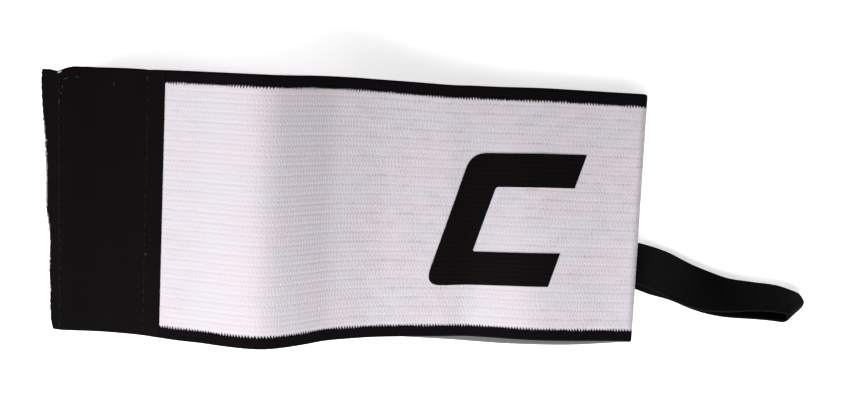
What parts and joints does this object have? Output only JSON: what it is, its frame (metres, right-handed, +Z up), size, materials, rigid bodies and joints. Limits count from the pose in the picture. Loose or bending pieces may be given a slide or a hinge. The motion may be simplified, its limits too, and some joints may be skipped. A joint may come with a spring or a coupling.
{
  "type": "captain armband",
  "caption": "Wide ribbed elastic armband lying closed, with black borders, a black end panel, a slanted block letter C and a narrow strap at one end.",
  "frame": {"origin": "on the supporting surface, below the middle of the armband's bounding box", "axes": "+X along the armband towards the strap's end, +Y across the webbing towards its upper edge, +Z up out of the printed face"},
  "size_m": [0.2274, 0.0788, 0.0419],
  "materials": {
    "elastic_white": "matt, ribbed",
    "border_black": "matt, woven",
    "panel_print": "matt print",
    "letter_print": "smooth print",
    "hook_tape": "matt, hooked",
    "loop_tape": "napped",
    "strap_black": "matt, woven"
  },
  "bodies": {
    "root": {"elastic_field": "elastic_white", "top_border": "border_black", "bottom_border": "border_black", "end_panel": "panel_print", "captain_letter": "letter_print", "hook_tape": "hook_tape", "loop_tape": "loop_tape", "strap": "strap_black"}
  },
  "joints": []
}
